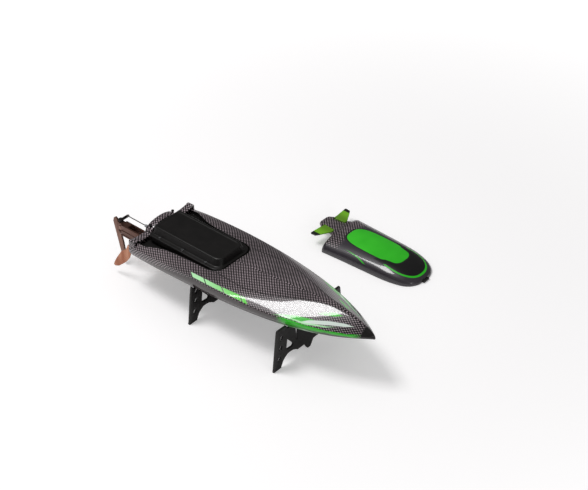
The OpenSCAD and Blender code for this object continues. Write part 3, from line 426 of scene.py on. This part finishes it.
class Value:
    """A number that varies over a surface, with arithmetic."""

    def __init__(self, tree, socket):
        self.tree, self.socket = tree, socket

    def do(self, op, *others):
        n = self.tree.nodes.new("ShaderNodeMath")
        n.operation = op
        for i, v in enumerate((self,) + others):
            if isinstance(v, Value):
                self.tree.links.new(v.socket, n.inputs[i])
            else:
                n.inputs[i].default_value = v
        return Value(self.tree, n.outputs[0])

    def __add__(self, o): return self.do("ADD", o)
    def __sub__(self, o): return self.do("SUBTRACT", o)
    def __mul__(self, o): return self.do("MULTIPLY", o)
    def __truediv__(self, o): return self.do("DIVIDE", o)
    def __rsub__(self, o): return (self * -1.0) + o
    __radd__, __rmul__ = __add__, __mul__
    def abs(self): return self.do("ABSOLUTE")
    def sin(self): return self.do("SINE")
    def min(self, o): return self.do("MINIMUM", o)
    def max(self, o): return self.do("MAXIMUM", o)
    def pow(self, o): return self.do("POWER", o)

    def ramp(self, a, b, smooth=True):
        n = self.tree.nodes.new("ShaderNodeMapRange")
        n.interpolation_type = "SMOOTHSTEP" if smooth else "LINEAR"
        self.tree.links.new(self.socket, n.inputs["Value"])
        n.inputs["From Min"].default_value, n.inputs["From Max"].default_value = a, b
        return Value(self.tree, n.outputs["Result"])

    def along(self, pts):
        """A curve through points, straight between them."""
        ys = [p[1] for p in pts]
        lo, hi = min(ys), max(ys) + 1e-6
        x = self.ramp(pts[0][0], pts[-1][0], smooth=False)
        n = self.tree.nodes.new("ShaderNodeFloatCurve")
        c = n.mapping.curves[0]
        for i, (px, py) in enumerate(pts):
            u, v = (px - pts[0][0]) / (pts[-1][0] - pts[0][0]), (py - lo) / (hi - lo)
            q = c.points[0] if i == 0 else c.points[-1] if i == len(pts) - 1 else c.points.new(u, v)
            q.location = (u, v)
            q.handle_type = "VECTOR"
        n.mapping.update()
        self.tree.links.new(x.socket, n.inputs["Value"])
        return Value(self.tree, n.outputs[0]) * (hi - lo) + lo


def between(v, a, b, soft):
    return v.ramp(a - soft, a + soft) * (1.0 - v.ramp(b - soft, b + soft))


class Look:
    """One procedural material."""

    def __init__(self, name, rough=0.4, metal=0.0, coat=0.0, coat_rough=0.05, spec=0.5):
        self.mat = bpy.data.materials.new(name)
        self.mat.use_nodes = True
        self.tree = self.mat.node_tree
        self.p = self.tree.nodes["Principled BSDF"]
        self.p.inputs["Roughness"].default_value = rough
        self.p.inputs["Metallic"].default_value = metal
        self.p.inputs["Coat Weight"].default_value = coat
        self.p.inputs["Coat Roughness"].default_value = coat_rough
        self.p.inputs["Specular IOR Level"].default_value = spec
        self.coord = self.tree.nodes.new("ShaderNodeTexCoord").outputs["Object"]
        sep = self.tree.nodes.new("ShaderNodeSeparateXYZ")
        self.tree.links.new(self.coord, sep.inputs[0])
        x, y, z = (Value(self.tree, s) for s in sep.outputs)
        self.x, self.y, self.z = x * 1000.0 - OX, y * 1000.0 - OY, z * 1000.0

    def noise(self, scale, detail=3.0, stretch=(1, 1, 1)):
        n = self.tree.nodes.new("ShaderNodeTexNoise")
        m = self.tree.nodes.new("ShaderNodeMapping")
        m.inputs["Scale"].default_value = stretch
        self.tree.links.new(self.coord, m.inputs[0])
        self.tree.links.new(m.outputs[0], n.inputs["Vector"])
        n.inputs["Scale"].default_value, n.inputs["Detail"].default_value = scale, detail
        return Value(self.tree, n.outputs[0])

    def blend(self, fac, a, b):
        n = self.tree.nodes.new("ShaderNodeMix")
        n.data_type = "RGBA"
        for sock, v in ((n.inputs[0], fac), (n.inputs[6], a), (n.inputs[7], b)):
            if isinstance(v, Value):
                self.tree.links.new(v.socket, sock)
            elif isinstance(v, bpy.types.NodeSocket):
                self.tree.links.new(v, sock)
            else:
                sock.default_value = v
        return n.outputs[2]

    def paint(self, colour, rough=None, bump=None, height=0.0002):
        self.tree.links.new(colour, self.p.inputs["Base Color"])
        if rough is not None:
            self.tree.links.new(rough.socket, self.p.inputs["Roughness"])
        if bump is not None:
            b = self.tree.nodes.new("ShaderNodeBump")
            b.inputs["Strength"].default_value = 1.0
            b.inputs["Distance"].default_value = height
            self.tree.links.new(bump.socket, b.inputs["Height"])
            self.tree.links.new(b.outputs[0], self.p.inputs["Normal"])
        return self.mat


WEAVE = 5.6          # two threads of the carbon cloth
STRIP_PITCH = 35.0   # from one slit in the plain green strip to the next
INK, YARN = srgb(18, 14, 15), srgb(176, 160, 166)
GREEN, LIME, PALE = srgb(36, 196, 16), srgb(86, 222, 36), srgb(226, 240, 230)
MINT = srgb(190, 250, 190)
BAND_BROWN = srgb(54, 44, 45)


def weave_colour(look, u, v):
    """Where the weave's pale threads show, and its colour."""
    k = 2 * math.pi / WEAVE
    dots = ((u * k).sin() * (v * k).sin()).ramp(0.08, 0.5)
    cloud = look.noise(9.0, 2.0).ramp(0.3, 0.7)
    return dots, look.blend(dots * (cloud * 0.5 + 0.5), INK, YARN)


def boat_skin(name):
    k = Look(name, rough=0.32, coat=1.0, coat_rough=0.04)
    x, y, z = k.x, k.y.abs(), k.z
    dots, base = weave_colour(k, x, y - z)
    # the plain lacquered band low on the sides
    edge = x.along([(0, 60), (10, 62), (70, 73), (140, 84.4), (300, 84.4), (436, 85.5)])
    low = 1.0 - (z - edge).ramp(-0.8, 0.4)
    base = k.blend(low, base, BAND_BROWN)
    rim = x.along([(0, 68), (60, 70.4), (120, 70.3), (180, 68.8), (240, 64.9), (300, 56.2), (340, 46.9),
                   (370, 37.3), (400, 24), (420, 11.6), (436, 0)])
    inset = rim - y
    # the plain strip by the rim, the stripe round the bow and the strokes on its panels
    slant = x + inset * 1.5
    strip = (between(inset, 1.5, 8.0, 0.4) * between(slant, 140, 246, 0.8)
             * (1.0 - k.y.ramp(-1.0, 1.0)) * z.ramp(82.0, 83.0))
    slits = (slant * (2 * math.pi / STRIP_PITCH)).sin().ramp(-0.985, -0.97)
    base = k.blend(strip * slits, base, k.blend(x.ramp(135, 240), MINT, LIME))
    streak = between(inset, -1.6, 2.6, 0.6) * between(x, 300, 412, 9.0)
    base = k.blend(streak, base, GREEN)
    for line, width, colour in (
            ([(268, 64), (300, 51), (322, 44), (350, 34), (360, 31)],
             [(268, -1.5), (296, 0.6), (322, 3.8), (345, 2.6), (362, -1.5)], GREEN),
            ([(320, 51), (345, 37), (370, 25), (392, 15.5), (414, 6)],
             [(320, -1.5), (340, 2.6), (365, 2.8), (392, 2.0), (414, -1.5)], PALE),
            ([(340, 27), (360, 17), (380, 9), (390, 6)],
             [(340, -1.5), (356, 2.2), (372, 2.6), (388, -1.5)], GREEN),
            ([(250, 57), (300, 51), (338, 43), (368, 31), (404, 11)],
             [(250, -1.5), (300, 0.2), (338, 1.2), (368, 0.8), (404, -1.5)], MINT)):
        away = (y - x.along(line)).abs() - x.along(width)
        base = k.blend(1.0 - away.ramp(-0.7, 0.5), base, colour)
    # painted shade: a dark line along each of the deck's creases, where the two slopes meet, from x 160 to
    # 372
    crease = (y - x.along([(157, 40), (218, 45), (262, 37), (305, 21), (340, 9), (375, 4.5)])).abs()
    shade = (1.0 - crease.ramp(0.2, 1.5)) * between(x, 160, 372, 6.0)
    base = k.blend(shade * 0.75, base, INK)
    return k.paint(base, rough=0.30 + dots * 0.12, bump=dots + k.noise(60.0, 2.0) * 0.4, height=0.00008)


skin_look = boat_skin("boat_carbon")


def carbon_plain(name, flip=False):
    k = Look(name, rough=0.34, coat=1.0, coat_rough=0.05)
    dots, base = weave_colour(k, k.x if flip else k.y, (k.y - k.z) if flip else (k.z + k.x))
    return k.paint(base, rough=0.32 + dots * 0.1, bump=dots, height=0.00008)


def canopy_look():
    k = Look("canopy_paint", rough=0.36, coat=0.8, coat_rough=0.08)
    x, y, z = k.x - CANOPY_X, k.y - CANOPY_Y, k.z
    grey = k.blend(k.noise(7.0, 4.0).ramp(0.3, 0.75), srgb(44, 40, 46), srgb(60, 55, 62))
    dots, carbon = weave_colour(k, k.x, k.y)
    rear = (1.0 - x.ramp(18, 30)) * z.ramp(12.0, 15.0)
    base = k.blend(rear, grey, carbon)
    yy = y.abs()
    # black nose panel with a fine green line round it
    nose = (((x - 126.0) / 40.0).abs().pow(2.4) + (yy / 30.0).pow(2.4)).pow(0.42)
    nose_in = (1.0 - nose.ramp(0.97, 1.0)) * x.ramp(92, 94)
    line = between(nose, 0.955, 1.03, 0.008) * x.ramp(98, 100)
    base = k.blend(nose_in, base, srgb(16, 14, 16))
    base = k.blend(line, base, GREEN)
    # green top panel
    panel = (((x - 76.0) / 56.0).abs().pow(3.2) + (yy / 24.5).pow(3.2)).pow(0.3125)
    base = k.blend(between(panel, 1.0, 1.05, 0.012), base, srgb(20, 22, 20))
    fill = k.blend(k.noise(11.0, 3.0).ramp(0.35, 0.7), srgb(36, 190, 18), srgb(58, 214, 36))
    base = k.blend(1.0 - panel.ramp(0.985, 1.0), base, fill)
    # side windows, biting into the panel
    window = ((yy - x.along([(84, 29), (104, 26.5), (134, 19)])).abs()
              - x.along([(84, -1), (108, 4.6), (126, 3.6), (138, -1)]))
    base = k.blend(1.0 - window.ramp(-0.4, 0.3), base, srgb(14, 12, 14))
    # the swoosh low on each side
    away = ((z - x.along([(16, 15.5), (44, 17.0), (66, 15.5), (90, 10)])).abs()
            - x.along([(16, -1), (50, 0.3), (78, 0.7), (90, -1)]))
    base = k.blend((1.0 - away.ramp(-0.3, 0.35)) * yy.ramp(30, 34), base, GREEN)
    return k.paint(base, rough=0.34 + k.noise(40.0, 2.0) * 0.06, bump=k.noise(900.0, 2.0), height=0.00002)


def plain(name, dark, light, rough, metal=0.0, coat=0.0, scale=60.0, grain=(1, 1, 1), height=0.00003,
          rough_by=0.12):
    k = Look(name, rough=rough, metal=metal, coat=coat)
    n = k.noise(scale, 4.0, grain)
    fine_n = k.noise(scale * 7, 2.0, grain)
    colour = k.blend(n.ramp(0.3, 0.7), dark, light)
    return k.paint(colour, rough=(n * rough_by) + (rough - rough_by / 2), bump=fine_n, height=height)


def winglet_look():
    k = Look("winglet_paint", rough=0.35, coat=0.6)
    out = (k.y - CANOPY_Y).abs()
    fill = k.blend(out.ramp(18, 34), srgb(96, 148, 22), srgb(120, 190, 30))
    base = k.blend(out.ramp(37.2, 38.4), fill, srgb(22, 24, 20))
    back = ((k.x - CANOPY_X) + out * 0.35).ramp(-20.0, -18.0)
    base = k.blend((1.0 - back) * 0.65, base, srgb(30, 60, 12))
    return k.paint(base, rough=0.3 + k.noise(50.0, 2.0) * 0.1, bump=k.noise(700.0), height=0.00002)


def battery_look():
    k = Look("battery_wrap", rough=0.3, coat=0.5)
    seam = (k.x * (2 * math.pi / 26.0)).sin().ramp(0.97, 1.0)
    base = k.blend(seam, srgb(20, 70, 160), srgb(12, 30, 80))
    return k.paint(base, rough=0.28 + k.noise(30.0) * 0.12, bump=k.noise(90.0), height=0.0002)


looks = {
    "stand_black": plain("stand_black", srgb(12, 10, 9), srgb(20, 17, 16), 0.4, height=0.00004),
    "pad": plain("pad", srgb(28, 28, 30), srgb(48, 48, 50), 0.9, scale=300.0, height=0.0002),
    "carbon_stern": carbon_plain("carbon_stern"),
    "bumper_rubber": plain("bumper_rubber", srgb(16, 14, 14), srgb(34, 30, 30), 0.3, coat=0.5),
    "tray_black": plain("tray_black", srgb(11, 9, 8), srgb(18, 15, 14), 0.45),
    "seal_rubber": plain("seal_rubber", srgb(14, 14, 14), srgb(26, 26, 26), 0.7),
    "post_black": plain("post_black", srgb(22, 20, 20), srgb(38, 35, 35), 0.4),
    "cover_black": plain("cover_black", srgb(11, 9, 8), srgb(17, 14, 13), 0.42, height=0.00005),
    "bright_screw": plain("bright_screw", srgb(190, 190, 192), srgb(225, 225, 228), 0.18, metal=1.0),
    "warm_alloy": plain("warm_alloy", srgb(84, 58, 50), srgb(128, 94, 82), 0.34, metal=0.85,
                        grain=(0.2, 1, 1)),
    "blade_alloy": plain("blade_alloy", srgb(112, 82, 72), srgb(168, 132, 118), 0.34, metal=0.9,
                         grain=(1, 1, 0.15), scale=120.0),
    "steel": plain("steel", srgb(150, 148, 150), srgb(205, 204, 206), 0.25, metal=1.0),
    "dark_alloy": plain("dark_alloy", srgb(40, 36, 36), srgb(66, 60, 60), 0.4, metal=0.8),
    "boot_rubber": plain("boot_rubber", srgb(150, 150, 154), srgb(196, 196, 200), 0.5),
    "fin_steel": plain("fin_steel", srgb(176, 112, 84), srgb(222, 164, 134), 0.26, metal=0.9,
                       grain=(1, 1, 0.2), scale=90.0),
    "brass": plain("brass", srgb(170, 128, 66), srgb(214, 176, 104), 0.3, metal=1.0),
    "prop_metal": plain("prop_metal", srgb(176, 112, 66), srgb(224, 168, 118), 0.24, metal=1.0),
    "servo_case": plain("servo_case", srgb(20, 20, 26), srgb(34, 34, 44), 0.5),
    "servo_horn_white": plain("servo_horn_white", srgb(214, 212, 204), srgb(236, 234, 228), 0.5),
    "plywood": plain("plywood", srgb(150, 116, 76), srgb(196, 160, 112), 0.6, grain=(0.12, 1, 4)),
    "motor_red": plain("motor_red", srgb(128, 20, 18), srgb(168, 34, 28), 0.3, metal=0.7),
    "rotor_steel": plain("rotor_steel", srgb(110, 110, 114), srgb(150, 150, 154), 0.4, metal=1.0),
    "jacket_alloy": plain("jacket_alloy", srgb(150, 156, 166), srgb(196, 200, 208), 0.3, metal=1.0),
    "coupler_blue": plain("coupler_blue", srgb(28, 60, 140), srgb(48, 90, 180), 0.3, metal=0.8),
    "hose_blue": plain("hose_blue", srgb(58, 112, 186), srgb(92, 148, 214), 0.4),
    "esc_case": plain("esc_case", srgb(26, 26, 30), srgb(46, 46, 52), 0.4, metal=0.6),
    "receiver_case": plain("receiver_case", srgb(16, 16, 16), srgb(30, 30, 30), 0.5),
    "battery_wrap": battery_look(),
    "strap_fabric": plain("strap_fabric", srgb(12, 12, 12), srgb(34, 34, 34), 0.95, scale=500.0,
                          height=0.0003),
    "foam_white": plain("foam_white", srgb(214, 214, 208), srgb(240, 240, 236), 0.9, scale=400.0,
                        height=0.0003),
    "canopy_carbon": carbon_plain("canopy_carbon", flip=True),
    "winglet_green": winglet_look(),
    "canopy_paint": canopy_look(),
    "carbon_hull": skin_look,
    "carbon_deck": skin_look,
}
for part in frame["record"]["subparts"]:
    ob = nodes[part["node"]]
    look = looks[part["material_slot"]]
    if ob.data.materials:
        for i in range(len(ob.data.materials)):
            ob.data.materials[i] = look
    else:
        ob.data.materials.append(look)


# ---- softened edges on the machined and cut parts ----
def shading_group():
    g = bpy.data.node_groups.new("shade_by_angle", "GeometryNodeTree")
    g.interface.new_socket("Geometry", in_out="INPUT", socket_type="NodeSocketGeometry")
    g.interface.new_socket("Geometry", in_out="OUTPUT", socket_type="NodeSocketGeometry")
    a, b = g.nodes.new("NodeGroupInput"), g.nodes.new("NodeGroupOutput")
    faces, edges = (g.nodes.new("GeometryNodeSetShadeSmooth") for _ in range(2))
    faces.domain, edges.domain = "FACE", "EDGE"
    faces.inputs["Shade Smooth"].default_value = True
    edges.inputs["Shade Smooth"].default_value = False
    angle = g.nodes.new("GeometryNodeInputMeshEdgeAngle")
    over = g.nodes.new("FunctionNodeCompare")
    over.operation = "GREATER_THAN"
    over.inputs[1].default_value = SHARP
    g.links.new(angle.outputs[0], over.inputs[0])
    g.links.new(over.outputs[0], edges.inputs["Selection"])
    g.links.new(a.outputs[0], faces.inputs["Geometry"])
    g.links.new(faces.outputs[0], edges.inputs["Geometry"])
    g.links.new(edges.outputs[0], b.inputs[0])
    return g


shading = shading_group()


def soften(ob, width):
    weld = ob.modifiers.new("weld", "WELD")
    weld.merge_threshold = 2e-6
    if width:
        bevel = ob.modifiers.new("bevel", "BEVEL")
        bevel.width, bevel.segments, bevel.limit_method = width * MM, 2, "ANGLE"
        bevel.angle_limit, bevel.use_clamp_overlap = math.radians(50), True
    smooth = ob.modifiers.new("shading", "NODES")
    smooth.node_group = shading


# each one's edge radius
EDGES = {"stand_front": 0.45, "stand_rear": 0.45, "transom": 0.35, "rudder_bracket": 0.25,
         "rudder_blade": 0.4,
         "tiller_arm": 0.2, "turn_fin_starboard": 0.3, "turn_fin_port": 0.3, "canopy_tail": 0.6,
         "winglet_port": 0.5, "winglet_starboard": 0.5, "hatch_screws": 0.15, "canopy_posts": 0.2,
         "canopy_tongue": 0.4, "prop_strut": 0.25, "prop_nut": 0.2, "drive_dog": 0.2}
for name, ob in nodes.items():
    soften(ob, EDGES.get(name, 0))

# ---- the detailed pieces take the places of the plain skins ----
for piece, body, slot, look, gone in (
        (hull_skin, "boat", "carbon_hull", skin_look, ("hull",)),
        (deck_skin, "boat", "carbon_deck", skin_look, ("deck",)),
        (wall, "boat", "carbon_deck", looks["tray_black"], ()),
        (lip, "boat", "carbon_deck", looks["tray_black"], ()),
        (bow_tip, "boat", "bumper_rubber", looks["bumper_rubber"], ("bow_bumper",)),
        (hatch_shell_ob, "hatch", "cover_black", looks["cover_black"], ("hatch_cover",)),
        (canopy_ob, "canopy", "canopy_paint", looks["canopy_paint"], ("canopy_shell",))):
    piece.data.materials.append(look)
    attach(piece, body)
    if gone:
        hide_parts(*gone)

# ---- floor, lights, camera ----
lo, hi = cad_box
centre = (lo + hi) / 2
FLOOR_HALF, FLOOR_DROP = 9, 0.0004
floor_rows = [[Vector((s * FLOOR_HALF, e * FLOOR_HALF, -FLOOR_DROP)) for e in (-1, 1)] for s in (-1, 1)]
floor = finish_mesh("floor", loft_bm(floor_rows, cap_start=False, cap_end=False, closed=False))
fm = bpy.data.materials.new("floor_white")
fm.use_nodes = True
t = fm.node_tree
p = t.nodes["Principled BSDF"]
p.inputs["Base Color"].default_value = (0.86, 0.845, 0.85, 1)
p.inputs["Roughness"].default_value = 0.9
p.inputs["Specular IOR Level"].default_value = 0.1
path = t.nodes.new("ShaderNodeLightPath")
glow = t.nodes.new("ShaderNodeEmission")
place = t.nodes.new("ShaderNodeTexCoord").outputs["Object"]
span = t.nodes.new("ShaderNodeVectorMath")
span.operation = "LENGTH"
t.links.new(place, span.inputs[0])
t.links.new((Value(t, span.outputs["Value"]).ramp(0.3, 1.6) * 0.45 + 0.3).socket, glow.inputs["Strength"])
add = t.nodes.new("ShaderNodeAddShader")
pick = t.nodes.new("ShaderNodeMixShader")
t.links.new(p.outputs[0], add.inputs[0])
t.links.new(glow.outputs[0], add.inputs[1])
t.links.new(path.outputs["Is Camera Ray"], pick.inputs[0])
t.links.new(p.outputs[0], pick.inputs[1])
t.links.new(add.outputs[0], pick.inputs[2])
t.links.new(pick.outputs[0], t.nodes["Material Output"].inputs[0])
floor.data.materials.append(fm)

world = bpy.data.worlds.new("studio")
bpy.context.scene.world = world
world.use_nodes = True
wt = world.node_tree
bg = wt.nodes["Background"]
bg.inputs["Color"].default_value = (1, 1, 1, 1)
wp = wt.nodes.new("ShaderNodeLightPath")
seen = Value(wt, wp.outputs["Is Camera Ray"]).max(Value(wt, wp.outputs["Is Transmission Ray"]))
shiny = Value(wt, wp.outputs["Is Glossy Ray"])
strength = seen * 0.62 + 0.38
strength = strength * (1.0 - shiny) + shiny * 0.1
wt.links.new(strength.socket, bg.inputs["Strength"])


def lamp(name, direction, distance, size, watts):
    d = bpy.data.lights.new(name, "AREA")
    d.shape, d.size, d.size_y, d.energy = "RECTANGLE", size[0], size[1], watts
    ob = bpy.data.objects.new(name, d)
    ob.location = centre + Vector(direction).normalized() * distance
    ob.rotation_mode = "QUATERNION"
    ob.rotation_quaternion = (centre - ob.location).to_track_quat("-Z", "Y")
    bpy.context.scene.collection.objects.link(ob)


lamp("key", (-0.26, -0.285, 0.92), 1.7, (0.62, 0.5), 14.0)
lamp("fill", (0.95, -0.25, 0.42), 1.9, (0.5, 0.5), 2.5)

cam = bpy.data.cameras.new("camera")
cam.sensor_width, cam.lens = 36.0, 104.9
cam.clip_start, cam.clip_end = 0.05, 60
shot = bpy.data.objects.new("camera", cam)
target = at(160.6, 139.0, 40.0)
az, el, distance = math.radians(40.8), math.radians(36.8), 2.7262
back = Vector((math.sin(az) * math.cos(el), -math.cos(az) * math.cos(el), math.sin(el)))
shot.location = target + back * distance
shot.rotation_mode = "QUATERNION"
shot.rotation_quaternion = (-back).to_track_quat("-Z", "Y")
bpy.context.scene.collection.objects.link(shot)
bpy.context.scene.camera = shot
bpy.context.scene.view_settings.view_transform = "Standard"
